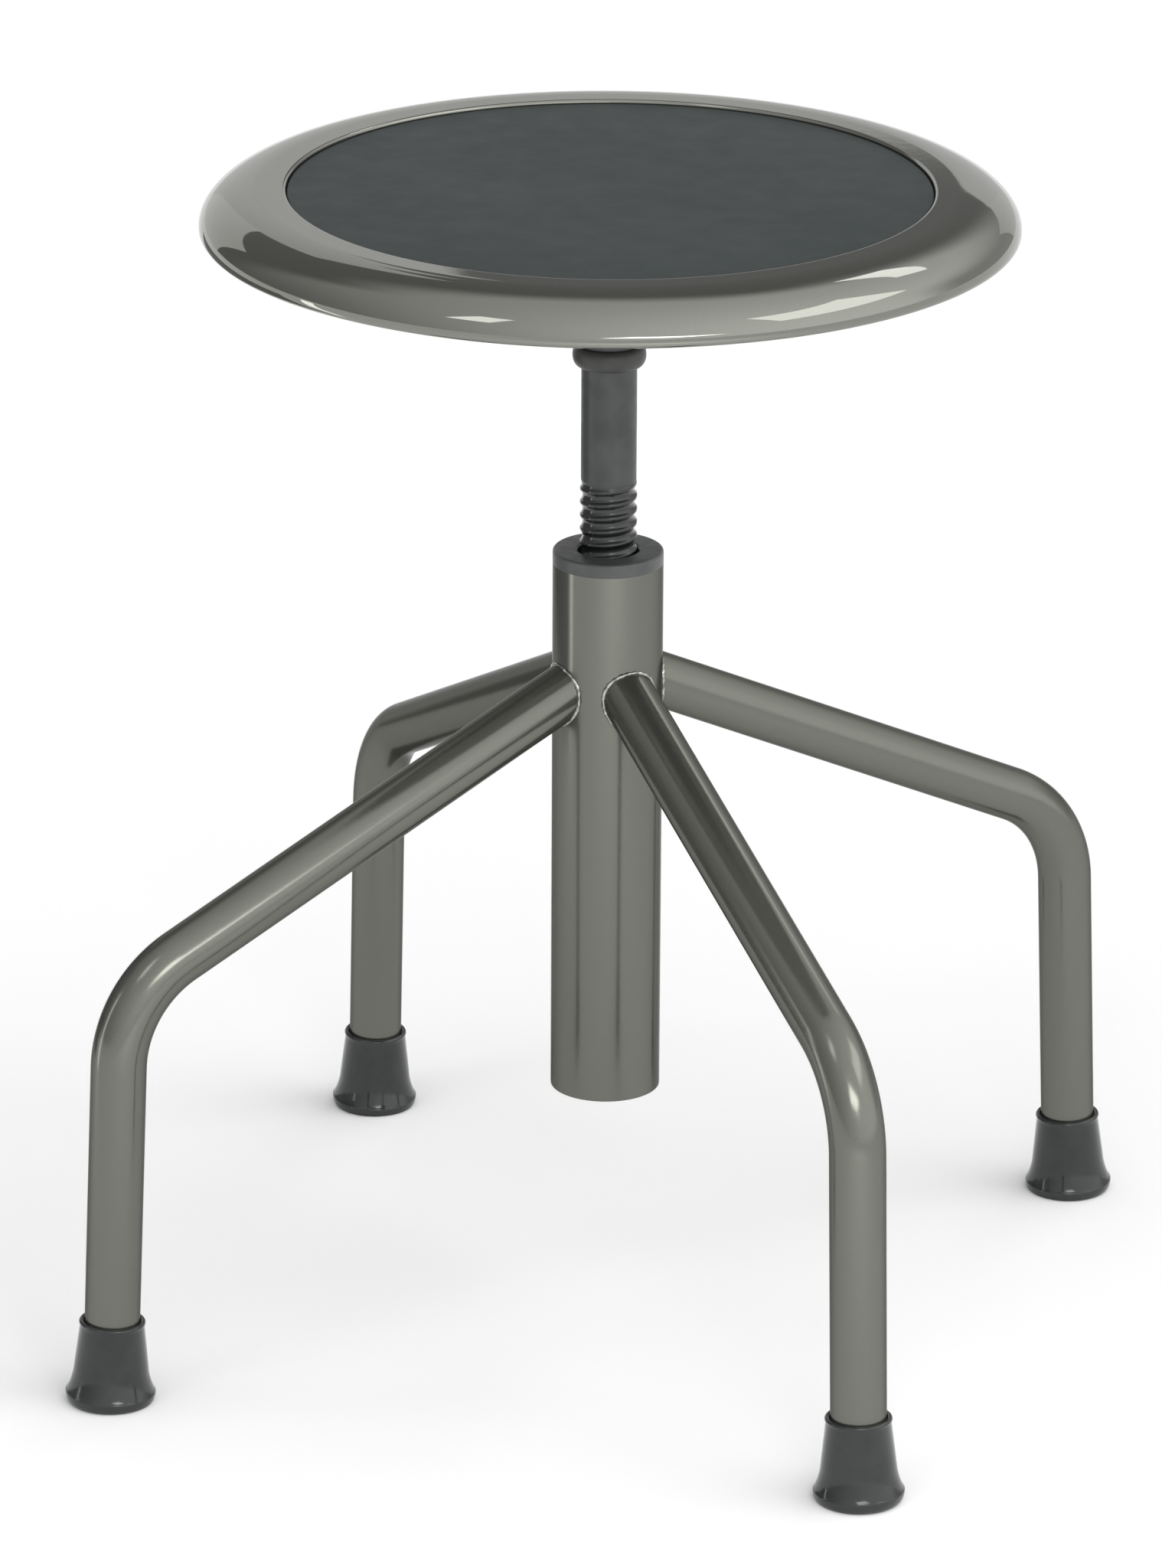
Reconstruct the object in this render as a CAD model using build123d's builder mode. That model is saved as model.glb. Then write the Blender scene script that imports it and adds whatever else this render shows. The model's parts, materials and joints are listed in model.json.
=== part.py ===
# Screw-lift stool: a round steel seat on a threaded spindle, in a column on four bent tube legs.
# Millimetres, +Z up. The origin is on the floor under the column's axis.
# The seat is drawn part of the way up its travel: REST_LIFT above its lowest setting.
import os
from math import cos, radians, sin, tan

from build123d import *

os.makedirs("parts", exist_ok=True)

# Seat pan and insert
SEAT_D = 371.0
PAN_SHEET = 1.5
RIM_DROP = 17.5
RIM_FLAT = 10.5
RIM_HEM = 3.0
LIP_ROUND = 1.4
FLOOR_ROUND = 1.0
INSERT_D = 292.1
INSERT_T = 6.4
INSERT_SINK = 1.7
INSERT_GAP = 0.3
INSERT_EDGE = 0.8

# Bolted joint between the pan and the spindle's plate
PLATE_D = 152.4
PLATE_T = 4.8
PLATE_EDGE = 1.0
BOLT_COUNT = 4
BOLT_CIRCLE_D = 114.3
BOLT_D = 6.35
BOLT_HEAD_D = 15.0
BOLT_HEAD_H = 3.0
BOLT_HEAD_ROUND = 1.2
BOLT_END = 2.0
BOLT_CLEARANCE = 0.2
POCKET_CLEARANCE = 0.4
LOCK_WASHER_D = 12.4
LOCK_WASHER_T = 1.6
SEAT_NUT_FLATS = 11.1
SEAT_NUT_H = 5.6

# Spindle, its thread and the pieces on it
SPINDLE_D = 25.4
SHANK_LENGTH = 54.0
THREAD_CREST_D = 26.2
THREAD_DEPTH = 1.2
THREAD_ROOT_W = 2.0
THREAD_FLANK = 45.0
THREAD_LEAD = 6.35
THREAD_CLEARANCE = 0.3
THREAD_OVERCUT = 0.2
HUB_D = 32.0
HUB_LENGTH = 59.0
HUB_EDGE = 1.0
HUB_FIT = 0.05
HUB_NOSE_WALL = 0.8
HUB_NOSE_LENGTH = 7.5
COLLAR_D = 33.6
COLLAR_H = 10.0
COLLAR_ROUND = 2.6
STOP_WASHER_D = 38.0
STOP_WASHER_T = 3.0
STOP_SCREW_D = 8.0
STOP_SCREW_LENGTH = 24.0
STOP_SCREW_FLATS = 13.0
STOP_SCREW_HEAD_H = 5.3
STOP_SCREW_FIT = 0.1

# Lift
TRAVEL = 152.4
REST_LIFT = 87.5
STOP_GAP = 0.3
RUNNING_GAP = 0.3

# Column, its cap and its nut
COLUMN_D = 50.8
COLUMN_WALL = 2.0
COLUMN_LENGTH = 256.0
COLUMN_BOTTOM = 104.9
COLUMN_EDGE = 0.5
CAP_FLANGE = 6.4
CAP_SPIGOT = 20.0
CAP_BORE_CLEARANCE = 1.0
CAP_ROUND = 1.2
CAP_BORE_EDGE = 0.8
NUT_LENGTH = 36.0
NUT_MARGIN = 4.0
NUT_EDGE = 1.0
COLUMN_FIT = 0.1

# Legs
LEG_D = 25.4
LEG_WALL = 2.0
LEG_ANGLE = 47.0
ARM_HEIGHT = 312.5
ARM_SLOPE = 25.0
LEG_SPLAY = 2.35
LEG_BEND = 55.0
FOOT_CIRCLE_D = 520.2
COPE_FIT = 0.05
WELD_SIZE = 1.8

# Feet
FOOT_H = 39.0
FOOT_LIP_WALL = 2.2
FOOT_LIP_ROUND = 1.0
FOOT_WAIST_D = 34.6
FOOT_WAIST_H = 14.0
FOOT_FLANGE_D = 41.2
FOOT_FLANGE_H = 5.0
FOOT_SOLE_D = 38.4
FOOT_SOLE_T = 9.0
FOOT_SOLE_TRIM = 2.0
FOOT_FIT = 0.1
FOOT_WASHER_T = 2.0

# Heights, from the floor up
COLUMN_TOP = COLUMN_BOTTOM + COLUMN_LENGTH
CAP_TOP = COLUMN_TOP + CAP_FLANGE
COLLAR_BOTTOM = CAP_TOP + STOP_GAP + REST_LIFT
COLLAR_TOP = COLLAR_BOTTOM + COLLAR_H
HUB_BOTTOM = COLLAR_TOP + RUNNING_GAP
PLATE_BOTTOM = HUB_BOTTOM + HUB_LENGTH
PLATE_TOP = PLATE_BOTTOM + PLATE_T
FLOOR_TOP = PLATE_TOP + PAN_SHEET
INSERT_TOP = FLOOR_TOP + INSERT_T
SEAT_TOP = INSERT_TOP + INSERT_SINK
THREAD_TOP = COLLAR_BOTTOM - SHANK_LENGTH
NUT_TOP = CAP_TOP - SHANK_LENGTH - NUT_MARGIN
NUT_BOTTOM = NUT_TOP - NUT_LENGTH
SPINDLE_BOTTOM = NUT_BOTTOM - STOP_GAP - (TRAVEL - REST_LIFT)

# Radii shared by more than one piece
COLUMN_R = COLUMN_D / 2
COLUMN_BORE_R = COLUMN_R - COLUMN_WALL
SPINDLE_R = SPINDLE_D / 2
HUB_BORE_R = SPINDLE_R + HUB_FIT
HUB_NOSE_R = HUB_BORE_R + HUB_NOSE_WALL
LEG_R = LEG_D / 2
THREAD_CREST_R = THREAD_CREST_D / 2
BOLT_HOLE_R = BOLT_D / 2 + BOLT_CLEARANCE

# A leg seen from its side: distance from the column's axis, then height
ARM_FALL = tan(radians(ARM_SLOPE))
SPLAY_RUN = tan(radians(LEG_SPLAY))
FOOT_R = FOOT_CIRCLE_D / 2
CORNER_R = (FOOT_R - SPLAY_RUN * ARM_HEIGHT) / (1 - SPLAY_RUN * ARM_FALL)
CORNER_Z = ARM_HEIGHT - ARM_FALL * CORNER_R
LEG_END = FOOT_SOLE_T + FOOT_WASHER_T
STANDING = (Align.CENTER, Align.CENTER, Align.MIN)
LEG_ANGLES = {
    "back_right": LEG_ANGLE,
    "back_left": 180 - LEG_ANGLE,
    "front_left": 180 + LEG_ANGLE,
    "front_right": 360 - LEG_ANGLE,
}


def leg_plane(angle):
    """The upright plane of one leg: x runs outwards from the column's axis and y runs up."""
    outwards = (cos(radians(angle)), sin(radians(angle)), 0)
    sideways = (sin(radians(angle)), -cos(radians(angle)), 0)
    return Plane(origin=(0, 0, 0), x_dir=outwards, z_dir=sideways)


def foot_plane(angle):
    """A leg's plane leaned with its lower tube, from the point where the tube's axis meets the floor."""
    upright = leg_plane(angle)
    sole_point = upright.from_local_coords(Vector(FOOT_R, 0, 0))
    across = upright.x_dir * cos(radians(LEG_SPLAY)) + upright.y_dir * sin(radians(LEG_SPLAY))
    return Plane(origin=sole_point, x_dir=across, z_dir=upright.z_dir)


def write(builder, name):
    builder.part.label = name
    export_step(builder.part, f"parts/{name}.step")


# Seat pan: one pressed sheet with a flat recess, a rolled rim and a hem
RECESS_R = INSERT_D / 2
RIM_R = SEAT_D / 2
CROWN_R = RECESS_R + RIM_FLAT
with BuildPart() as seat_pan:
    with BuildSketch(Plane.XZ):
        with BuildLine():
            rim_level = SEAT_TOP - RIM_DROP
            hem_r = RIM_R - RIM_HEM
            floor_bottom = FLOOR_TOP - PAN_SHEET
            inner_top = SEAT_TOP - PAN_SHEET
            Polyline((CROWN_R, SEAT_TOP), (RECESS_R, SEAT_TOP), (RECESS_R, FLOOR_TOP), (0, FLOOR_TOP))
            Polyline((0, FLOOR_TOP), (0, floor_bottom), (RECESS_R + PAN_SHEET, floor_bottom))
            Polyline(
                (RECESS_R + PAN_SHEET, floor_bottom),
                (RECESS_R + PAN_SHEET, inner_top),
                (CROWN_R, inner_top),
            )
            EllipticalCenterArc(
                (CROWN_R, rim_level), RIM_R - PAN_SHEET - CROWN_R, RIM_DROP - PAN_SHEET, arc_size=90
            )
            hem_in = CenterArc((hem_r, rim_level), RIM_HEM - PAN_SHEET, 270, 90)
            Line(hem_in @ 0, (hem_r, rim_level - RIM_HEM))
            CenterArc((hem_r, rim_level), RIM_HEM, 270, 90)
            EllipticalCenterArc((CROWN_R, rim_level), RIM_R - CROWN_R, RIM_DROP, arc_size=90)
        make_face()
        lip = vertices().filter_by_position(Axis.X, RECESS_R, RECESS_R).sort_by(Axis.Y)
        fillet(lip[-1], LIP_ROUND)
        fillet(lip[0], FLOOR_ROUND)
    revolve(axis=Axis.Z)
    with PolarLocations(BOLT_CIRCLE_D / 2, BOLT_COUNT, start_angle=45):
        with Locations((0, 0, FLOOR_TOP)):
            Hole(BOLT_HOLE_R, 2 * PAN_SHEET)
write(seat_pan, "seat_pan")

# Hardboard insert, pocketed underneath for the bolt heads
with BuildPart() as seat_insert:
    with BuildSketch(Plane.XY.offset(FLOOR_TOP)):
        Circle(RECESS_R - INSERT_GAP)
    extrude(amount=INSERT_T)
    chamfer(edges().group_by(Axis.Z)[0], max(INSERT_EDGE, FLOOR_ROUND))
    fillet(edges().group_by(Axis.Z)[-1], INSERT_EDGE)
    with BuildSketch(Plane.XY.offset(FLOOR_TOP)):
        with PolarLocations(BOLT_CIRCLE_D / 2, BOLT_COUNT, start_angle=45):
            Circle(BOLT_HEAD_D / 2 + POCKET_CLEARANCE)
    extrude(amount=BOLT_HEAD_H + POCKET_CLEARANCE, mode=Mode.SUBTRACT)
write(seat_insert, "seat_insert")

# Plate under the pan
with BuildPart() as spindle_plate:
    with BuildSketch(Plane.XY.offset(PLATE_BOTTOM)):
        Circle(PLATE_D / 2)
        Circle(HUB_BORE_R, mode=Mode.SUBTRACT)
        with PolarLocations(BOLT_CIRCLE_D / 2, BOLT_COUNT, start_angle=45):
            Circle(BOLT_HOLE_R, mode=Mode.SUBTRACT)
    extrude(amount=PLATE_T)
    chamfer(edges().group_by(Axis.Z)[0].sort_by(SortBy.RADIUS)[-1], PLATE_EDGE)
write(spindle_plate, "spindle_plate")

# Low-head bolts, dropped in from above under the insert
LOCK_WASHER_BOTTOM = PLATE_BOTTOM - LOCK_WASHER_T
SEAT_NUT_BOTTOM = LOCK_WASHER_BOTTOM - SEAT_NUT_H
with BuildPart() as seat_bolts:
    with BuildSketch(Plane.XY.offset(FLOOR_TOP)):
        with PolarLocations(BOLT_CIRCLE_D / 2, BOLT_COUNT, start_angle=45):
            Circle(BOLT_HEAD_D / 2)
    extrude(amount=BOLT_HEAD_H)
    fillet(edges().group_by(Axis.Z)[-1], BOLT_HEAD_ROUND)
    with BuildSketch(Plane.XY.offset(SEAT_NUT_BOTTOM - BOLT_END)):
        with PolarLocations(BOLT_CIRCLE_D / 2, BOLT_COUNT, start_angle=45):
            Circle(BOLT_D / 2)
    extrude(amount=FLOOR_TOP - SEAT_NUT_BOTTOM + BOLT_END)
write(seat_bolts, "seat_bolts")

with BuildPart() as lock_washers:
    with BuildSketch(Plane.XY.offset(LOCK_WASHER_BOTTOM)):
        with PolarLocations(BOLT_CIRCLE_D / 2, BOLT_COUNT, start_angle=45):
            Circle(LOCK_WASHER_D / 2)
            Circle(BOLT_HOLE_R, mode=Mode.SUBTRACT)
    extrude(amount=LOCK_WASHER_T)
write(lock_washers, "lock_washers")

with BuildPart() as seat_nuts:
    with BuildSketch(Plane.XY.offset(SEAT_NUT_BOTTOM)):
        with PolarLocations(BOLT_CIRCLE_D / 2, BOLT_COUNT, start_angle=45):
            RegularPolygon(SEAT_NUT_FLATS / 2, 6, major_radius=False)
            Circle(BOLT_D / 2 + BOLT_CLEARANCE / 2, mode=Mode.SUBTRACT)
    extrude(amount=SEAT_NUT_H)
write(seat_nuts, "seat_nuts")

# Sleeve that joins the spindle to its plate. Its lower end is the shoulder over the collar, and a thin
# nose below the shoulder keeps the collar central
with BuildPart() as spindle_hub:
    with BuildSketch(Plane.XY.offset(HUB_BOTTOM)):
        Circle(HUB_D / 2)
        Circle(HUB_BORE_R, mode=Mode.SUBTRACT)
    extrude(amount=HUB_LENGTH)
    chamfer(edges().group_by(Axis.Z)[0].sort_by(SortBy.RADIUS)[-1], HUB_EDGE)
    with BuildSketch(Plane.XY.offset(HUB_BOTTOM - HUB_NOSE_LENGTH)):
        Circle(HUB_NOSE_R)
        Circle(HUB_BORE_R, mode=Mode.SUBTRACT)
    extrude(amount=HUB_NOSE_LENGTH)
write(spindle_hub, "spindle_hub")

# Spindle: a plain shank over a coarse thread, drilled for the stop screw.
# The thread is one groove with leaning flanks, cut along a helix from below the end up to the shank.
GROOVE_START = SPINDLE_BOTTOM - THREAD_LEAD
GROOVE_LEAN = tan(radians(THREAD_FLANK))
GROOVE_W = THREAD_ROOT_W + 2 * GROOVE_LEAN * THREAD_DEPTH
MOUTH_W = GROOVE_W + 2 * GROOVE_LEAN * THREAD_OVERCUT
with BuildPart() as spindle:
    with BuildSketch(Plane.XY.offset(SPINDLE_BOTTOM)):
        Circle(THREAD_CREST_R)
    extrude(amount=THREAD_TOP - SPINDLE_BOTTOM)
    with BuildLine() as groove:
        groove_rise = THREAD_TOP - GROOVE_W / 2 - GROOVE_START
        Helix(THREAD_LEAD, groove_rise, THREAD_CREST_R, center=(0, 0, GROOVE_START))
    with BuildSketch(Plane(origin=groove.line @ 0, x_dir=(1, 0, 0), z_dir=groove.line % 0)):
        with BuildLine():
            Polyline(
                (-THREAD_DEPTH, -THREAD_ROOT_W / 2),
                (THREAD_OVERCUT, -MOUTH_W / 2),
                (THREAD_OVERCUT, MOUTH_W / 2),
                (-THREAD_DEPTH, THREAD_ROOT_W / 2),
                close=True,
            )
        make_face()
    sweep(path=groove.wires()[0], is_frenet=True, mode=Mode.SUBTRACT)
    with BuildSketch(Plane.XY.offset(THREAD_TOP)):
        Circle(SPINDLE_R)
    extrude(amount=PLATE_TOP - THREAD_TOP)
    with BuildSketch(Plane.XY.offset(SPINDLE_BOTTOM)):
        Circle(STOP_SCREW_D / 2 + STOP_SCREW_FIT)
    extrude(amount=STOP_SCREW_LENGTH, mode=Mode.SUBTRACT)
write(spindle, "spindle")

# Ring on the hub's nose that lands on the cap at the bottom of the travel
COLLAR_BORE_R = HUB_NOSE_R + RUNNING_GAP
with BuildPart() as stop_collar:
    with BuildSketch(Plane.XY.offset(COLLAR_BOTTOM)):
        Circle(COLLAR_D / 2)
        Circle(COLLAR_BORE_R, mode=Mode.SUBTRACT)
    extrude(amount=COLLAR_H)
    rims = edges().filter_by(GeomType.CIRCLE).group_by(SortBy.RADIUS)[-1]
    fillet(rims, min(COLLAR_ROUND, 0.9 * (COLLAR_D / 2 - COLLAR_BORE_R), 0.45 * COLLAR_H))
write(stop_collar, "stop_collar")

# Washer and screw on the spindle's lower end, which meet the nut at the top of the travel
with BuildPart() as stop_washer:
    with BuildSketch(Plane.XY.offset(SPINDLE_BOTTOM - STOP_WASHER_T)):
        Circle(STOP_WASHER_D / 2)
        Circle(STOP_SCREW_D / 2 + STOP_SCREW_FIT, mode=Mode.SUBTRACT)
    extrude(amount=STOP_WASHER_T)
write(stop_washer, "stop_washer")

SCREW_HEAD_TOP = SPINDLE_BOTTOM - STOP_WASHER_T
with BuildPart() as stop_screw:
    with BuildSketch(Plane.XY.offset(SCREW_HEAD_TOP - STOP_SCREW_HEAD_H)):
        RegularPolygon(STOP_SCREW_FLATS / 2, 6, major_radius=False)
    extrude(amount=STOP_SCREW_HEAD_H)
    with BuildSketch(Plane.XY.offset(SCREW_HEAD_TOP)):
        Circle(STOP_SCREW_D / 2)
    extrude(amount=STOP_WASHER_T + STOP_SCREW_LENGTH - STOP_SCREW_FIT)
write(stop_screw, "stop_screw")

# Column
with BuildPart() as column_tube:
    with BuildSketch(Plane.XY.offset(COLUMN_BOTTOM)):
        Circle(COLUMN_R)
        Circle(COLUMN_BORE_R, mode=Mode.SUBTRACT)
    extrude(amount=COLUMN_LENGTH)
    chamfer(edges().group_by(Axis.Z)[0], COLUMN_EDGE)
write(column_tube, "column_tube")

# Guide bush pressed into the column's top end
CAP_BORE_R = THREAD_CREST_R + CAP_BORE_CLEARANCE
with BuildPart() as column_cap:
    with BuildSketch(Plane.XY.offset(COLUMN_TOP - CAP_SPIGOT)):
        Circle(COLUMN_BORE_R - COLUMN_FIT)
    extrude(amount=CAP_SPIGOT)
    with BuildSketch(Plane.XY.offset(COLUMN_TOP)):
        Circle(COLUMN_R)
    extrude(amount=CAP_FLANGE)
    fillet(edges().group_by(Axis.Z)[-1], CAP_ROUND)
    with BuildSketch(Plane.XY.offset(COLUMN_TOP - CAP_SPIGOT)):
        Circle(CAP_BORE_R)
    extrude(amount=CAP_SPIGOT + CAP_FLANGE, mode=Mode.SUBTRACT)
    chamfer(edges().group_by(Axis.Z)[-1].sort_by(SortBy.RADIUS)[0], CAP_BORE_EDGE)
write(column_cap, "column_cap")

# Long nut fixed inside the column, bored to clear the thread's crests
with BuildPart() as spindle_nut:
    with BuildSketch(Plane.XY.offset(NUT_BOTTOM)):
        Circle(COLUMN_BORE_R - COLUMN_FIT)
        Circle(THREAD_CREST_R + THREAD_CLEARANCE, mode=Mode.SUBTRACT)
    extrude(amount=NUT_LENGTH)
    chamfer(edges().filter_by(GeomType.CIRCLE), NUT_EDGE)
write(spindle_nut, "spindle_nut")

# Legs: one bent tube each, coped to the column, and a rubber ferrule on its lower end
for name, angle in LEG_ANGLES.items():
    upright = leg_plane(angle)
    leaning = foot_plane(angle)
    tube_end = upright.to_local_coords(leaning.from_local_coords(Vector(0, LEG_END, 0)))

    with BuildPart() as leg:
        with BuildLine(upright) as leg_path:
            FilletPolyline(
                (0, ARM_HEIGHT), (CORNER_R, CORNER_Z), (tube_end.X, tube_end.Y), radius=LEG_BEND
            )
        with BuildSketch(Plane(origin=leg_path.line @ 0, z_dir=leg_path.line % 0)):
            Circle(LEG_R)
            Circle(LEG_R - LEG_WALL, mode=Mode.SUBTRACT)
        sweep(path=leg_path.wires()[0])
        Cylinder(COLUMN_R + COPE_FIT, 2 * ARM_HEIGHT, align=STANDING, mode=Mode.SUBTRACT)
    write(leg, f"leg_{name}")

    with BuildPart() as foot:
        with BuildSketch(leaning):
            with BuildLine():
                bore_r = LEG_R + FOOT_FIT
                lip_r = bore_r + FOOT_LIP_WALL
                Polyline(
                    (0, -FOOT_SOLE_TRIM),
                    (0, FOOT_SOLE_T),
                    (bore_r, FOOT_SOLE_T),
                    (bore_r, FOOT_H),
                    (lip_r, FOOT_H),
                    (FOOT_WAIST_D / 2, FOOT_WAIST_H),
                )
                side = Line((lip_r, FOOT_H), (FOOT_WAIST_D / 2, FOOT_WAIST_H), mode=Mode.PRIVATE)
                flare = TangentArc(
                    (FOOT_WAIST_D / 2, FOOT_WAIST_H), (FOOT_FLANGE_D / 2, FOOT_FLANGE_H), tangent=side % 1
                )
                sole = Spline(
                    (FOOT_FLANGE_D / 2, FOOT_FLANGE_H),
                    (FOOT_SOLE_D / 2, 0),
                    tangents=(flare % 1, (-1, -1)),
                )
                Polyline(
                    (FOOT_SOLE_D / 2, 0),
                    (FOOT_SOLE_D / 2 - FOOT_SOLE_TRIM, -FOOT_SOLE_TRIM),
                    (0, -FOOT_SOLE_TRIM),
                )
            make_face()
            lip = vertices().group_by(Axis.Y)[-1]
            fillet(lip, FOOT_LIP_ROUND)
        revolve(axis=Axis(leaning.origin, leaning.y_dir))
        split(bisect_by=Plane.XY, keep=Keep.TOP)
    write(foot, f"foot_{name}")

# Steel discs that keep the tube ends from cutting through the soles
with BuildPart() as foot_washers:
    corner = foot_plane(LEG_ANGLE)
    seat_point = corner.from_local_coords(Vector(0, FOOT_SOLE_T, 0))
    with BuildSketch(Plane(origin=seat_point, z_dir=corner.y_dir)):
        Circle(LEG_R)
    extrude(amount=FOOT_WASHER_T)
    mirror(about=Plane.YZ)
    mirror(about=Plane.XZ)
write(foot_washers, "foot_washers")

# Weld beads: a saddle of weld metal round each arm, where it meets the column
with BuildPart() as leg_welds:
    corner = leg_plane(LEG_ANGLE)
    arm_root = corner.from_local_coords(Vector(0, ARM_HEIGHT, 0))
    arm_axis = corner.x_dir * cos(radians(ARM_SLOPE)) - corner.y_dir * sin(radians(ARM_SLOPE))
    with BuildSketch(Plane(origin=arm_root, z_dir=arm_axis)):
        Circle(LEG_R + WELD_SIZE)
        Circle(LEG_R, mode=Mode.SUBTRACT)
    extrude(amount=COLUMN_D + LEG_D)
    Cylinder(COLUMN_R + WELD_SIZE, 2 * ARM_HEIGHT, align=STANDING, mode=Mode.INTERSECT)
    Cylinder(COLUMN_R, 2 * ARM_HEIGHT, align=STANDING, mode=Mode.SUBTRACT)
    mirror(about=Plane.YZ)
    mirror(about=Plane.XZ)
write(leg_welds, "leg_welds")
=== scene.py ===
# Screw-lift stool: a round steel seat on a threaded spindle, in a column on four bent tube legs.
# Metres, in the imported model's frame: +Z up, with the origin on the floor under the column's axis.
import json
from math import atan2, cos, hypot, pi, radians, sin, sqrt, tan

import bpy
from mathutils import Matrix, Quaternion, Vector


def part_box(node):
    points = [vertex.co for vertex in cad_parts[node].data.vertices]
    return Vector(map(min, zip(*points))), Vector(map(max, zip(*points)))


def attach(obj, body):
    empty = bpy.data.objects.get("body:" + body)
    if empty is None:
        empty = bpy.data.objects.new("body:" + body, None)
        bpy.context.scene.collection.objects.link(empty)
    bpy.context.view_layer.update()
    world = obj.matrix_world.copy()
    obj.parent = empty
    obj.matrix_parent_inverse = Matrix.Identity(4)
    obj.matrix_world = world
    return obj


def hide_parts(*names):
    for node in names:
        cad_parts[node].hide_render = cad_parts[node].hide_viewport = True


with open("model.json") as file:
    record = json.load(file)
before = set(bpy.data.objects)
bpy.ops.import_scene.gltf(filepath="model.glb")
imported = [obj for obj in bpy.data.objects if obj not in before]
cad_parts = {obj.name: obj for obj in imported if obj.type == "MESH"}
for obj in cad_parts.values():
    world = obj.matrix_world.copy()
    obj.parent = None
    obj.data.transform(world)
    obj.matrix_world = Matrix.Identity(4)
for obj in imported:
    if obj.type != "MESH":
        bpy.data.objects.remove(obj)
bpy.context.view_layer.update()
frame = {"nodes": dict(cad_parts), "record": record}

# Column tube
# A length of 2 in steel tube, sawn square, deburred and sprayed with a clear-coated pewter lacquer.
# The four arms are welded to its side and hold it clear of the floor.
column_low, column_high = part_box("column_tube")
column_radius = column_high.x
column_wall = 0.002
column_deburr = 0.0007


def arc(centre, radii, start, end, count):
    """Points on an arc about a centre, as (radius, height) pairs, with angles in degrees."""
    turns = [radians(start + (end - start) * i / count) for i in range(count + 1)]
    return [(centre[0] + radii[0] * cos(t), centre[1] + radii[1] * sin(t)) for t in turns]


def draw_outline(name, outline):
    """Draws (radius, height) points as one chain of edges in a new piece, which stays in edit mode."""
    bpy.ops.object.select_all(action="DESELECT")
    bpy.ops.mesh.primitive_plane_add(size=0.01)
    piece = bpy.context.object
    piece.name = name
    piece.data.name = name
    bpy.ops.object.mode_set(mode="EDIT")
    bpy.ops.mesh.select_all(action="SELECT")
    bpy.ops.mesh.merge(type="CENTER")
    bpy.ops.transform.translate(value=(outline[0][0], 0, outline[0][1]))
    for (r0, z0), (r1, z1) in zip(outline, outline[1:]):
        bpy.ops.mesh.extrude_vertices_move(TRANSFORM_OT_translate={"value": (r1 - r0, 0, z1 - z0)})
    return piece


def close_up(sharp_angle):
    """Merges the open mesh's seams, turns its faces outwards and shades it."""
    bpy.ops.mesh.select_all(action="SELECT")
    bpy.ops.mesh.remove_doubles(threshold=1e-6)
    bpy.ops.mesh.normals_make_consistent(inside=False)
    bpy.ops.object.mode_set(mode="OBJECT")
    bpy.ops.object.shade_smooth_by_angle(angle=radians(sharp_angle))


def turned(name, outline, steps, sharp_angle=40):
    """A piece turned about the stool's axis from its outline."""
    piece = draw_outline(name, outline)
    bpy.ops.mesh.select_all(action="SELECT")
    bpy.ops.mesh.spin(steps=steps, angle=2 * pi, center=(0, 0, 0), axis=(0, 0, 1))
    close_up(sharp_angle)
    return piece


def new_material(name):
    """A node material with its shader, ready for a pattern on Object coordinates."""
    material = bpy.data.materials.new(name)
    material.use_nodes = True
    shader = material.node_tree.nodes["Principled BSDF"]
    place = material.node_tree.nodes.new("ShaderNodeTexCoord")
    return material, shader, place.outputs["Object"]


def noise(material, place, scale, detail=3.0, roughness=0.5):
    """A noise pattern whose grain is about one over its scale, in metres."""
    node = material.node_tree.nodes.new("ShaderNodeTexNoise")
    node.inputs["Scale"].default_value = scale
    node.inputs["Detail"].default_value = detail
    node.inputs["Roughness"].default_value = roughness
    material.node_tree.links.new(place, node.inputs["Vector"])
    return node.outputs["Fac"]


def ramp(material, factor, stops):
    """Colours or greys along a factor: stops are (place, colour) pairs."""
    node = material.node_tree.nodes.new("ShaderNodeValToRGB")
    material.node_tree.links.new(factor, node.inputs["Fac"])
    for element, (at, colour) in zip(node.color_ramp.elements, stops):
        element.position = at
        element.color = (*colour, 1)
    return node.outputs["Color"]


def bump(material, shader, height, depth, strength):
    """Lifts the shader's surface by a height pattern, to a depth in metres."""
    node = material.node_tree.nodes.new("ShaderNodeBump")
    node.inputs["Distance"].default_value = depth
    node.inputs["Strength"].default_value = strength
    material.node_tree.links.new(height, node.inputs["Height"])
    material.node_tree.links.new(node.outputs["Normal"], shader.inputs["Normal"])


def pewter_lacquer(name, dark, light, metal, rim_tint, gloss, flake_grain, peel):
    """Olive-grey metallic lacquer with fine flake and a trace of orange peel."""
    material, shader, place = new_material(name)
    flake = noise(material, place, flake_grain, 2.0, 0.7)
    tone = ramp(material, flake, [(0.30, dark), (0.70, light)])
    material.node_tree.links.new(tone, shader.inputs["Base Color"])
    sheen = ramp(material, flake, [(0.30, (gloss * 0.8,) * 3), (0.70, (gloss * 1.3,) * 3)])
    material.node_tree.links.new(sheen, shader.inputs["Roughness"])
    shader.inputs["Metallic"].default_value = metal
    shader.inputs["Specular Tint"].default_value = (rim_tint, rim_tint, rim_tint, 1)
    bump(material, shader, noise(material, place, 260, 1.0), 0.0002, peel)
    return material


def dress(piece, material, body, slot, *nodes):
    """Gives a finished piece its finish, its body and the solids that it stands for. Its slot argument is
    not used.
    """
    piece.data.materials.clear()
    piece.data.materials.append(material)
    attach(piece, body)
    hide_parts(*nodes)


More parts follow.
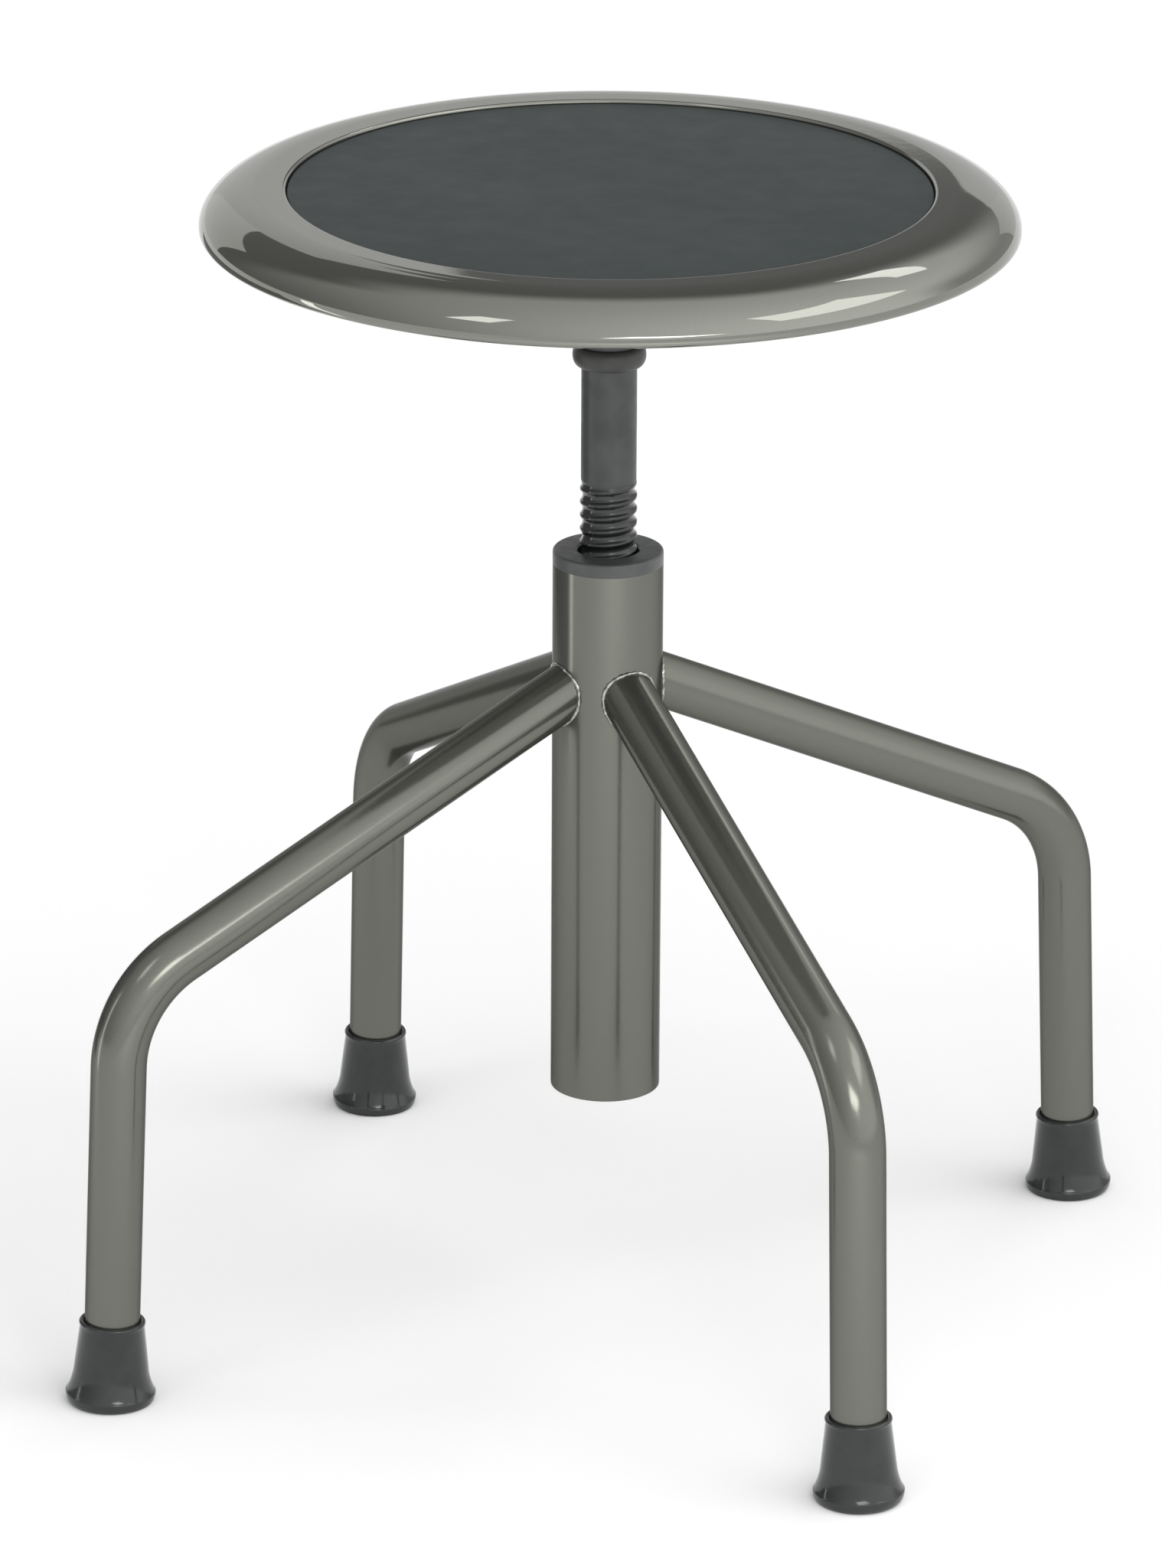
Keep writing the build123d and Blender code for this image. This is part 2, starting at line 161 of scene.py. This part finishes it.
tube_lacquer = pewter_lacquer(
    "tube_lacquer", (0.153, 0.155, 0.136), (0.172, 0.175, 0.153), 0.80, 0.30, 0.18, 1500, 0.03
)
column_bore = column_radius - column_wall
edge = column_deburr
column = turned(
    "column",
    arc((column_radius - edge, column_low.z + edge), (edge, edge), 270, 360, 4)
    + [(column_radius, column_high.z), (column_bore, column_high.z)]
    + arc((column_bore + edge, column_low.z + edge), (edge, edge), 180, 270, 4)
    + [(column_radius - edge, column_low.z)],
    128,
)
dress(column, tube_lacquer, "base", "tube_lacquer", "column_tube")

# Column cap
# A black nylon guide bush, pressed into the column's top end by its spigot. Its flange is flush with
# the tube, with a rounded edge, and its wide bore lets the spindle's thread pass.
cap_low, cap_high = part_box("column_cap")
cap_bore = 0.0141
cap_round = 0.0013
cap_bevel = 0.0009
spigot_fit = 0.0001
spigot_radius = column_bore - spigot_fit
cap = turned(
    "column_cap_bush",
    [(cap_bore, cap_low.z), (spigot_radius, cap_low.z), (spigot_radius, column_high.z)]
    + [(column_radius, column_high.z)]
    + arc((column_radius - cap_round, cap_high.z - cap_round), (cap_round, cap_round), 0, 90, 6)
    + [(cap_bore + cap_bevel, cap_high.z), (cap_bore, cap_high.z - cap_bevel), (cap_bore, cap_low.z)],
    128,
)


def charcoal(name, dark, light, gloss, grain, tooth):
    """A dark, slightly cool synthetic with a soft mottle and a fine surface grain."""
    material, shader, place = new_material(name)
    tone = ramp(material, noise(material, place, 90, 4.0), [(0.35, dark), (0.65, light)])
    material.node_tree.links.new(tone, shader.inputs["Base Color"])
    wear = ramp(material, noise(material, place, 240), [(0.35, (gloss,) * 3), (0.65, (gloss + 0.09,) * 3)])
    material.node_tree.links.new(wear, shader.inputs["Roughness"])
    bump(material, shader, noise(material, place, grain, 2.0), 0.0002, tooth)
    return material


black_nylon = charcoal("black_nylon", (0.058, 0.063, 0.062), (0.073, 0.079, 0.078), 0.34, 1800, 0.04)
dress(cap, black_nylon, "base", "black_nylon", "column_cap")

# Legs
# Four lengths of 1 in steel tube. Each runs down from the column as a sloping arm, bends once on a
# former and goes on to the floor, splayed a little. Its upper end is coped to sit on the column.
leg_radius = 0.0127
leg_wall = 0.002
arm_height = 0.3125
arm_slope = radians(25.0)
leg_splay = radians(2.35)
bend_radius = 0.055
leg_end_height = 0.011
leg_sides = 64
bend_steps = 28
feet_at = {
    mount["name"].removeprefix("floor_"): Vector(mount["pos_m"])
    for mount in frame["record"]["mounts"]
    if mount["name"].startswith("floor_")
}
foot_circle = feet_at["front_left"].to_2d().length
arm_way = Vector((cos(arm_slope), 0, -sin(arm_slope)))
leg_way = Vector((sin(leg_splay), 0, -cos(leg_splay)))
corner_out = (foot_circle - tan(leg_splay) * arm_height) / (1 - tan(leg_splay) * tan(arm_slope))
corner = Vector((corner_out, 0, arm_height - tan(arm_slope) * corner_out))
bend_turn = arm_way.angle(leg_way)
bend_start = corner - arm_way * bend_radius * tan(bend_turn / 2)
bend_centre = bend_start - bend_radius * Vector((sin(arm_slope), 0, cos(arm_slope)))
bend_end = corner + leg_way * bend_radius * tan(bend_turn / 2)
tube_end = Vector((foot_circle, 0, 0)) - leg_way * leg_end_height
arm_start = Vector((0, 0, arm_height)) + arm_way * 2 * column_radius


def extrude_by(step):
    """Extrudes what is selected in edit mode by one step."""
    bpy.ops.mesh.extrude_region_move(TRANSFORM_OT_translate={"value": step})


def select_where(piece, is_chosen):
    """Selects the vertices of a piece in edit mode that pass a test of their place."""
    bpy.ops.mesh.select_mode(type="VERT")
    bpy.ops.mesh.select_all(action="DESELECT")
    bpy.ops.object.mode_set(mode="OBJECT")
    for vertex in piece.data.vertices:
        vertex.select = is_chosen(vertex.co)
    bpy.ops.object.mode_set(mode="EDIT")


def copies_round(piece, name):
    """A copy of a piece for each leg, with its own mesh, turned about Z from a model along +X."""
    made = {}
    for leg_name, foot_at in feet_at.items():
        bpy.ops.object.select_all(action="DESELECT")
        bpy.context.view_layer.objects.active = piece
        piece.select_set(True)
        bpy.ops.object.duplicate(linked=False)
        copy = bpy.context.object
        copy.name = f"{name}_{leg_name}"
        copy.data.name = copy.name
        copy.rotation_euler.z = atan2(foot_at.y, foot_at.x)
        bpy.ops.object.transform_apply(location=False, rotation=True, scale=False)
        made[leg_name] = copy
    bpy.data.objects.remove(piece)
    return made


bpy.ops.object.select_all(action="DESELECT")
bpy.ops.mesh.primitive_circle_add(
    vertices=leg_sides, radius=leg_radius, location=arm_start, rotation=(0, pi / 2 + arm_slope, 0)
)
leg = bpy.context.object
bpy.ops.object.transform_apply(location=True, rotation=True, scale=False)
bpy.ops.object.mode_set(mode="EDIT")
bpy.ops.mesh.select_all(action="SELECT")
extrude_by(bend_start - arm_start)
bpy.ops.mesh.spin(steps=bend_steps, angle=-bend_turn, center=bend_centre, axis=(0, 1, 0))
extrude_by(tube_end - bend_end)
select_where(leg, lambda at: (at - arm_start).dot(arm_way) < 1e-5)
bpy.ops.object.mode_set(mode="OBJECT")
for vertex in leg.data.vertices:
    if vertex.select:
        reach = sqrt(column_radius**2 - vertex.co.y**2)
        vertex.co += arm_way * (reach - vertex.co.x) / arm_way.x
bpy.ops.object.mode_set(mode="EDIT")
bpy.ops.mesh.duplicate()
bpy.ops.mesh.separate(type="SELECTED")
close_up(40)
bead_ring = next(o for o in bpy.context.selected_objects if o is not leg)
bpy.ops.object.select_all(action="DESELECT")
leg.select_set(True)
wall = leg.modifiers.new("wall", "SOLIDIFY")
wall.thickness = leg_wall
wall.offset = -1
bpy.ops.object.modifier_apply(modifier=wall.name)
bpy.ops.object.shade_smooth_by_angle(angle=radians(40))
for leg_name, piece in copies_round(leg, "leg_tube").items():
    dress(piece, tube_lacquer, "base", "tube_lacquer", f"leg_{leg_name}")

# Leg welds
# One bead of weld metal round each saddle, laid in short steps that show as ripples. Its tone is the
# metal's own random mottle, lifted far lighter than the tubes as a painted highlight along the bead.
bead_size = 0.0010
bead_steps = 24
bead_swell = 0.22
bpy.ops.object.select_all(action="DESELECT")
bpy.context.view_layer.objects.active = bead_ring
bead_ring.select_set(True)
bpy.ops.object.convert(target="CURVE")
bead_ring = bpy.context.object
bead_ring.data.bevel_depth = bead_size
bead_ring.data.bevel_resolution = 3
bead_points = bead_ring.data.splines[0].points
for i, point in enumerate(bead_points):
    along = 2 * pi * i / len(bead_points)
    ripple = sin(bead_steps * along)
    wander = sin(5 * along + 1) * sin(3 * along)
    point.radius = 1 + bead_swell * (ripple + wander)
bpy.ops.object.convert(target="MESH")
bead = bpy.context.object
bpy.ops.object.mode_set(mode="EDIT")
close_up(60)
weld_metal, weld_shader, weld_place = new_material("weld_metal")
# The light greys are partly a painted highlight, a bright line of light along the bead, over a random
# mottle.
weld_tone_painted_highlight = ramp(
    weld_metal, noise(weld_metal, weld_place, 420), [(0.40, (0.20, 0.20, 0.18)), (0.62, (0.52, 0.52, 0.48))]
)
weld_metal.node_tree.links.new(weld_tone_painted_highlight, weld_shader.inputs["Base Color"])
weld_shader.inputs["Metallic"].default_value = 1.0
weld_shader.inputs["Roughness"].default_value = 0.24
bump(weld_metal, weld_shader, noise(weld_metal, weld_place, 900), 0.0002, 0.2)
beads = copies_round(bead, "weld_bead")
bpy.ops.object.select_all(action="DESELECT")
for piece in beads.values():
    piece.select_set(True)
leg_weld_beads = beads["front_left"]
bpy.context.view_layer.objects.active = leg_weld_beads
bpy.ops.object.join()
leg_weld_beads.name = "leg_weld_beads"
leg_weld_beads.data.name = leg_weld_beads.name
dress(leg_weld_beads, weld_metal, "base", "weld", "leg_welds")

# Feet
# A black rubber ferrule is pushed over each tube's end. It has a rolled lip, a straight taper and a
# foot that flares to a round-edged flange, and its sole is worn flat on the floor.
foot_height = 0.039
foot_fit = 0.0001
foot_bore = leg_radius + foot_fit
foot_bore_edge = 0.0006
foot_lip = 0.0152
foot_lip_round = 0.0011
foot_neck_inset = 0.0004
foot_neck_drop = 0.0031
foot_waist = 0.01705
foot_waist_height = 0.0162
foot_flange = 0.0206
foot_flange_height = 0.0044
foot_sole = 0.0190
foot_sole_thickness = 0.009
foot_trim = 0.002
flare_curl = 1.45
flare_sweep = 1.25
flare_steps = 16
lip_at = (foot_lip - foot_lip_round, foot_height - foot_lip_round)
flare_height = foot_waist_height - foot_flange_height
foot = turned(
    "foot",
    [(0, foot_sole_thickness), (foot_bore, foot_sole_thickness)]
    + [(foot_bore, foot_height - foot_bore_edge), (foot_bore + foot_bore_edge, foot_height)]
    + arc(lip_at, (foot_lip_round, foot_lip_round), 90, -30, 10)
    + [(foot_lip - foot_neck_inset, foot_height - foot_neck_drop)]
    + [
        (
            foot_waist + (foot_flange - foot_waist) * (i / flare_steps) ** flare_curl,
            foot_waist_height - flare_height * (1 - (1 - i / flare_steps) ** flare_sweep),
        )
        for i in range(flare_steps + 1)
    ]
    + arc((foot_sole, foot_flange_height), (foot_flange - foot_sole, foot_flange_height), 0, -90, 8)[1:]
    + [(foot_sole - foot_trim, -foot_trim), (0, -foot_trim)],
    80,
    50,
)
foot.location = (foot_circle, 0, 0)
foot.rotation_euler.y = -leg_splay
bpy.ops.object.transform_apply(location=True, rotation=True, scale=False)
bpy.ops.object.mode_set(mode="EDIT")
bpy.ops.mesh.select_all(action="SELECT")
bpy.ops.mesh.bisect(
    plane_co=(0, 0, 0), plane_no=(0, 0, 1), use_fill=True, clear_inner=True, threshold=1e-6
)
close_up(50)
rubber = charcoal("rubber", (0.017, 0.020, 0.019), (0.023, 0.026, 0.025), 0.09, 600, 0.008)
for leg_name, piece in copies_round(foot, "foot_ferrule").items():
    dress(piece, rubber, "base", "rubber", f"foot_{leg_name}")

# Spindle
# A steel bar with a plain shank and a coarse right-hand thread with rounded roots, turned on a lathe
# and left black and oiled. The thread runs in a nut inside the column and runs out into the shank.
spindle_low, spindle_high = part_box("spindle")
collar_low, collar_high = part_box("stop_collar")
shank_radius = 0.0127
shank_length = 0.054
crest_radius = 0.0131
root_radius = 0.0119
thread_lead = 0.00635
crest_flat = 0.0011
groove_curl = 2.2
groove_steps = 8
thread_sides = 72
runout = 0.004
oil_fade = 0.002
thread_top = collar_low.z - shank_length
groove_half = (thread_lead - crest_flat) / 2
thread_start = spindle_low.z - 2 * thread_lead
turns = int((thread_top - thread_start) / thread_lead) + 2
groove_middle = thread_start + crest_flat + groove_half
thread = draw_outline(
    "spindle_bar",
    [(crest_radius, thread_start)]
    + [
        (
            root_radius + (crest_radius - root_radius) * abs(i / groove_steps) ** groove_curl,
            groove_middle + groove_half * i / groove_steps,
        )
        for i in range(-groove_steps, groove_steps + 1)
    ],
)
bpy.ops.object.mode_set(mode="OBJECT")
screw = thread.modifiers.new("thread", "SCREW")
screw.angle = 2 * pi
screw.screw_offset = thread_lead
screw.iterations = turns
screw.steps = thread_sides
screw.render_steps = thread_sides
screw.use_merge_vertices = True
screw.merge_threshold = 1e-6
bpy.ops.object.modifier_apply(modifier=screw.name)
for vertex in thread.data.vertices:
    fade = min(1, max(0, (vertex.co.z - thread_top + runout) / runout))
    radius = hypot(vertex.co.x, vertex.co.y)
    grown = (radius + (shank_radius - radius) * fade) / radius
    vertex.co.x *= grown
    vertex.co.y *= grown
bpy.ops.object.mode_set(mode="EDIT")
bpy.ops.mesh.select_all(action="SELECT")
bpy.ops.mesh.bisect(
    plane_co=(0, 0, spindle_low.z), plane_no=(0, 0, 1), use_fill=True, clear_inner=True, threshold=1e-6
)
bpy.ops.mesh.select_all(action="SELECT")
bpy.ops.mesh.bisect(
    plane_co=(0, 0, thread_top), plane_no=(0, 0, 1), use_fill=True, clear_outer=True, threshold=1e-6
)
close_up(50)
shank = turned(
    "shank",
    [(0, thread_top), (shank_radius, thread_top), (shank_radius, spindle_high.z), (0, spindle_high.z)],
    thread_sides,
)
bpy.ops.object.select_all(action="DESELECT")
shank.select_set(True)
thread.select_set(True)
bpy.context.view_layer.objects.active = thread
bpy.ops.object.join()
black_steel = charcoal("black_steel", (0.050, 0.055, 0.054), (0.065, 0.071, 0.069), 0.36, 2400, 0.04)
steel_nodes = black_steel.node_tree
steel_shader = steel_nodes.nodes["Principled BSDF"]
steel_shader.inputs["Metallic"].default_value = 0.35
height = steel_nodes.nodes.new("ShaderNodeSeparateXYZ")
steel_nodes.links.new(steel_nodes.nodes["Texture Coordinate"].outputs["Object"], height.inputs["Vector"])
oil = steel_nodes.nodes.new("ShaderNodeMapRange")
oil.inputs["From Min"].default_value = thread_top - oil_fade
oil.inputs["From Max"].default_value = thread_top
oil.inputs["To Min"].default_value = 1.0
oil.inputs["To Max"].default_value = 0.0
steel_nodes.links.new(height.outputs["Z"], oil.inputs["Value"])
steel_nodes.links.new(oil.outputs["Result"], steel_shader.inputs["Coat Weight"])
steel_shader.inputs["Coat Roughness"].default_value = 0.08
steel_shader.inputs["Coat Tint"].default_value = (0.30, 0.31, 0.30, 1)
dress(thread, black_steel, "seat", "black_steel", "spindle")

# Stop collar
# A half-round steel ring, turned and blackened, that rides under the hub's shoulder. It lands on the cap
# at the bottom of the travel.
collar_radius = collar_high.x
collar_bore = 0.01385
collar_round = 0.0028
collar_bulge = (collar_high.z - collar_low.z) / 2
collar_middle = (collar_radius - collar_round, collar_low.z + collar_bulge)
collar = turned(
    "stop_ring",
    [(collar_bore, collar_low.z)]
    + arc(collar_middle, (collar_round, collar_bulge), -90, 90, 20)
    + [(collar_bore, collar_high.z), (collar_bore, collar_low.z)],
    96,
)
# A darker copy of the spindle's black steel: the extra darkness is painted shade from the seat above.
shaded_collar_steel = charcoal("shaded_collar_steel", (0.030, 0.031, 0.029), (0.042, 0.043, 0.040), 0.38, 2400, 0.04)
dress(collar, shaded_collar_steel, "lift", "black_steel", "stop_collar")

# Seat pan
# One steel sheet, pressed to a flat recess for the insert, a lip, a crowned rim and a hem, and
# lacquered like the tubes but polished. It is bolted down through the recess's floor.
pan_low, pan_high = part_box("seat_pan")
insert_low, insert_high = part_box("seat_insert")
sheet = 0.0015
seat_radius = pan_high.x
recess_radius = 0.14605
lip_round = 0.0014
floor_round = 0.001
rim_flat = 0.0105
rim_hem = 0.003
lip_hold = 0.00015
crown_hold = 0.0005
under_bend = 0.001
floor_top = insert_low.z
rim_level = pan_low.z + rim_hem
crown = recess_radius + rim_flat
crown_run = seat_radius - crown
crown_drop = pan_high.z - rim_level
hem_at = (seat_radius - rim_hem, rim_level)
pan = turned(
    "seat_dish",
    [(0, floor_top), (recess_radius * 0.5, floor_top)]
    + arc((recess_radius - floor_round, floor_top + floor_round), (floor_round, floor_round), 270, 360, 4)
    + arc((recess_radius + lip_round, pan_high.z - lip_round), (lip_round, lip_round), 180, 90, 10)
    + [(recess_radius + lip_round + lip_hold, pan_high.z), (crown - crown_hold, pan_high.z)]
    + arc((crown, rim_level), (crown_run, crown_drop), 90, 0, 40)
    + arc(hem_at, (rim_hem, rim_hem), 0, -90, 6)[1:]
    + arc(hem_at, (rim_hem - sheet, rim_hem - sheet), -90, 0, 4)
    + arc((crown, rim_level), (crown_run - sheet, crown_drop - sheet), 0, 90, 24)[1:]
    + [(recess_radius + sheet + under_bend, pan_high.z - sheet)]
    + [(recess_radius + sheet, pan_high.z - sheet - under_bend), (recess_radius + sheet, floor_top)]
    + [(recess_radius, floor_top - sheet), (0, floor_top - sheet)],
    288,
    50,
)
pan_lacquer = pewter_lacquer(
    "pan_lacquer", (0.222, 0.225, 0.201), (0.246, 0.250, 0.223), 0.93, 1.0, 0.03, 2200, 0.01
)
dress(pan, pan_lacquer, "seat", "pan_lacquer", "seat_pan")

# Seat insert
# A disc of tempered hardboard, dropped into the recess and glued. Its face is smooth and matt, with
# the board's faint mottle and fibre.
insert_radius = insert_high.x
insert_edge = 0.0008
insert_chamfer = 0.001
glue_line = 0.0001
insert_base = insert_low.z + glue_line
insert = turned(
    "seat_board",
    [(0, insert_base), (insert_radius - insert_chamfer, insert_base)]
    + [(insert_radius, insert_base + insert_chamfer)]
    + arc((insert_radius - insert_edge, insert_high.z - insert_edge), (insert_edge, insert_edge), 0, 90, 5)
    + [(insert_radius * 0.5, insert_high.z), (0, insert_high.z)],
    192,
    50,
)
hardboard, board_shader, board_place = new_material("hardboard")
board_mottle = noise(hardboard, board_place, 14, 5.0, 0.6)
board_tone = ramp(hardboard, board_mottle, [(0.30, (0.028, 0.036, 0.036)), (0.70, (0.035, 0.044, 0.043))])
hardboard.node_tree.links.new(board_tone, board_shader.inputs["Base Color"])
board_rub = noise(hardboard, board_place, 60, 4.0)
board_sheen = ramp(hardboard, board_rub, [(0.3, (0.52,) * 3), (0.7, (0.62,) * 3)])
hardboard.node_tree.links.new(board_sheen, board_shader.inputs["Roughness"])
board_shader.inputs["Specular IOR Level"].default_value = 0.3
bump(hardboard, board_shader, noise(hardboard, board_place, 1600, 3.0), 0.0003, 0.12)
dress(insert, hardboard, "seat", "hardboard", "seat_insert")

# Hidden steelwork
# The plate and hub under the seat, the nut in the column, the stop washer and screw, the discs in the
# feet and the seat's fasteners are plain turned and pressed steel, as the solids have them.


def steel(name, dark, light, roughness, grain):
    """Bare or plated steel with a brushed mottle."""
    material, shader, place = new_material(name)
    tone = ramp(material, noise(material, place, grain, 4.0), [(0.35, dark), (0.65, light)])
    material.node_tree.links.new(tone, shader.inputs["Base Color"])
    scuff = noise(material, place, grain * 3)
    rub = ramp(material, scuff, [(0.3, (roughness,) * 3), (0.7, (roughness + 0.12,) * 3)])
    material.node_tree.links.new(rub, shader.inputs["Roughness"])
    shader.inputs["Metallic"].default_value = 1.0
    bump(material, shader, noise(material, place, grain * 8), 0.0002, 0.08)
    return material


bare_steel = steel("bare_steel", (0.30, 0.30, 0.29), (0.42, 0.42, 0.41), 0.34, 160)
zinc = steel("zinc", (0.50, 0.51, 0.52), (0.63, 0.64, 0.65), 0.26, 220)
hidden_finish = {
    "spindle_plate": black_steel,
    "spindle_hub": black_steel,
    "spindle_nut": bare_steel,
    "stop_washer": zinc,
    "stop_screw": zinc,
    "seat_bolts": zinc,
    "lock_washers": zinc,
    "seat_nuts": zinc,
    "foot_washers": zinc,
}
for node, finish in hidden_finish.items():
    solid = frame["nodes"][node]
    solid.data.materials.clear()
    solid.data.materials.append(finish)

# Camera
# At the photograph's angle: a long lens, a little above the seat, to the right of the stool's front.
camera_turn = radians(17.1)
camera_rise = radians(19.882)
camera_roll = radians(0.3)
camera_away = 3.9993
camera_aim = Vector((-0.01133, -0.00348, 0.2527))
camera = bpy.data.objects.new("camera", bpy.data.cameras.new("camera"))
bpy.context.scene.collection.objects.link(camera)
backwards = Vector(
    (sin(camera_turn) * cos(camera_rise), -cos(camera_turn) * cos(camera_rise), sin(camera_rise))
)
camera.location = camera_aim + backwards * camera_away
camera.rotation_mode = "QUATERNION"
camera.rotation_quaternion = (-backwards).to_track_quat("-Z", "Y") @ Quaternion((0, 0, 1), camera_roll)
camera.data.sensor_width = 36
camera.data.lens = 199.1
camera.data.clip_end = 100
bpy.context.scene.camera = camera
bpy.context.scene.view_settings.view_transform = "Standard"

# Floor
# A plain white floor, which runs out of the picture on every side and keeps the stool's soft shadow. It
# lies a hair below the soles.
floor_radius = 30
floor_drop = 0.0002
bpy.ops.object.select_all(action="DESELECT")
bpy.ops.mesh.primitive_circle_add(
    vertices=96, radius=floor_radius, fill_type="NGON", location=(0, 0, -floor_drop)
)
floor = bpy.context.object
floor.name = "floor"
floor_paint, floor_shader, floor_place = new_material("floor_paint")
floor_wear = noise(floor_paint, floor_place, 3.0)
floor_tone = ramp(floor_paint, floor_wear, [(0.3, (0.955,) * 3), (0.7, (0.965,) * 3)])
floor_paint.node_tree.links.new(floor_tone, floor_shader.inputs["Base Color"])
floor_shader.inputs["Roughness"].default_value = 0.9
floor_shader.inputs["Specular IOR Level"].default_value = 0.0
floor.data.materials.append(floor_paint)

# Studio
# A room of soft light, brightest to the right of the camera and dark behind the stool, where white
# panels stand. Softboxes hang on the right, behind on the right and over the left, for the glints.
studio = bpy.data.worlds.new("studio")
bpy.context.scene.world = studio
studio.use_nodes = True
air = studio.node_tree


def reckon(operation, *terms):
    """A sum in the studio's nodes: its terms are numbers or other nodes' outputs."""
    node = air.nodes.new("ShaderNodeMath")
    node.operation = operation
    for socket, term in zip(node.inputs, terms):
        if isinstance(term, (int, float)):
            socket.default_value = term
        else:
            air.links.new(term, socket)
    return node.outputs["Value"]


outlook = air.nodes.new("ShaderNodeTexCoord")
squared = air.nodes.new("ShaderNodeVectorRotate")
squared.rotation_type = "Z_AXIS"
squared.inputs["Angle"].default_value = -camera_turn
air.links.new(outlook.outputs["Generated"], squared.inputs["Vector"])
way = air.nodes.new("ShaderNodeSeparateXYZ")
air.links.new(squared.outputs["Vector"], way.inputs["Vector"])
right, away, up = way.outputs
bearing = reckon("ARCTAN2", right, away)
rise = reckon("ARCSINE", up)


def panel(left_edge, right_edge, low_edge, high_edge, blur):
    """How far a direction lies in one soft-edged panel, from 0 to 1, with its edges in degrees."""
    cover = 1.0
    for angle, low, high in ((bearing, left_edge, right_edge), (rise, low_edge, high_edge)):
        off = reckon("ABSOLUTE", reckon("SUBTRACT", angle, radians((low + high) / 2)))
        fade = air.nodes.new("ShaderNodeMapRange")
        fade.interpolation_type = "SMOOTHSTEP"
        fade.inputs["From Min"].default_value = radians((high - low) / 2 + blur)
        fade.inputs["From Max"].default_value = radians((high - low) / 2)
        air.links.new(off, fade.inputs["Value"])
        cover = reckon("MULTIPLY", cover, fade.outputs["Result"])
    return cover


room_level = 0.94
more_to_right = 0.60
less_behind = -0.28
more_above = 0.12
corner_loss = -0.55
wall_level = 0.21
glow = reckon("MULTIPLY_ADD", right, more_to_right, room_level)
glow = reckon("MULTIPLY_ADD", away, less_behind, glow)
glow = reckon("MULTIPLY_ADD", up, more_above, glow)
dark_corner = reckon("MULTIPLY_ADD", panel(28, 66, -40, 10, 25), corner_loss, 1.0)
glow = reckon("MULTIPLY", glow, dark_corner)
dark_wall = panel(-48, 10, -40, 45, 18)
glow = reckon("MULTIPLY_ADD", dark_wall, reckon("SUBTRACT", wall_level, glow), glow)
# Each panel and softbox has its left, right, low and high edges and its blur in degrees, then its level.
white_panels = [
    (-42, -15, -40, 25.5, 0.3, 0.88),
    (-15.5, -5.5, -40, 34, 0.4, 0.78),
    (-6, -3, -40, 27, 0.4, 0.76),
    (-3.4, -1, -40, 19.5, 0.3, 0.76),
    (-1.2, 14, -40, 15.6, 0.12, 0.76),
    (14, 30, -40, 15.2, 0.3, 0.80),
]
softboxes = [
    (19, 39, 39.5, 45, 0.5, 3.0),
    (74, 126, 37, 55, 1.5, 3.0),
    (-139, -124, 46, 60, 1.5, 3.0),
]
for *edges, level in white_panels + softboxes:
    glow = reckon("MAXIMUM", glow, reckon("MULTIPLY", panel(*edges), level))
air.nodes["Background"].inputs["Color"].default_value = (1, 1, 1, 1)
air.links.new(glow, air.nodes["Background"].inputs["Strength"])

# Lamps and flag
# A narrow softbox stands on the left for a line of light down the column, and a square one hangs over
# the floor in front. A dark card on the left, behind, gives the tubes a dark edge in the white room.
strip_bearing = radians(-99)
strip_away = 0.75
strip_width = 0.06
strip_height = 0.45
strip_level = 2.6
strip_foot = 0.02
out_to_strip = Quaternion((0, 0, 1), camera_turn - strip_bearing) @ Vector((0, 1, 0))
strip = bpy.data.objects.new("strip", bpy.data.lights.new("strip", "AREA"))
bpy.context.scene.collection.objects.link(strip)
strip.data.shape = "RECTANGLE"
strip.data.size = strip_width
strip.data.size_y = strip_height
strip.data.energy = strip_level * pi * strip_width * strip_height
strip.location = out_to_strip * strip_away + Vector((0, 0, strip_foot + strip_height / 2))
strip.rotation_mode = "QUATERNION"
strip.rotation_quaternion = (-out_to_strip).to_track_quat("-Z", "Y")
strip.visible_camera = False
pool_size = 0.5
pool_level = 5.4
pool_at = Vector((0.25, -1.15, 0.7))
pool = bpy.data.objects.new("pool", bpy.data.lights.new("pool", "AREA"))
bpy.context.scene.collection.objects.link(pool)
pool.data.shape = "SQUARE"
pool.data.size = pool_size
pool.data.energy = pool_level * pi * pool_size**2
pool.location = Quaternion((0, 0, 1), camera_turn) @ pool_at
pool.visible_camera = False
flag_left = -0.50
flag_behind = 0.30
flag_length = 0.66
flag_low = 0.10
flag_high = 0.44
bpy.ops.object.select_all(action="DESELECT")
bpy.ops.mesh.primitive_plane_add(size=1)
flag = bpy.context.object
flag.name = "flag"
flag.scale = (flag_length, flag_high - flag_low, 1)
flag.rotation_euler = (pi / 2, 0, camera_turn + pi / 2)
flag_middle = Vector((flag_left, flag_behind, (flag_low + flag_high) / 2))
flag.location = Quaternion((0, 0, 1), camera_turn) @ flag_middle
flag.visible_camera = False
flag.visible_diffuse = False
flag.visible_shadow = False
flag_cloth, flag_shader, flag_place = new_material("flag_cloth")
flag_weave = noise(flag_cloth, flag_place, 40.0)
flag_tone = ramp(flag_cloth, flag_weave, [(0.3, (0.19,) * 3), (0.7, (0.23,) * 3)])
flag_cloth.node_tree.links.new(flag_tone, flag_shader.inputs["Base Color"])
flag_shader.inputs["Roughness"].default_value = 0.9
flag_shader.inputs["Specular IOR Level"].default_value = 0.0
flag.data.materials.append(flag_cloth)
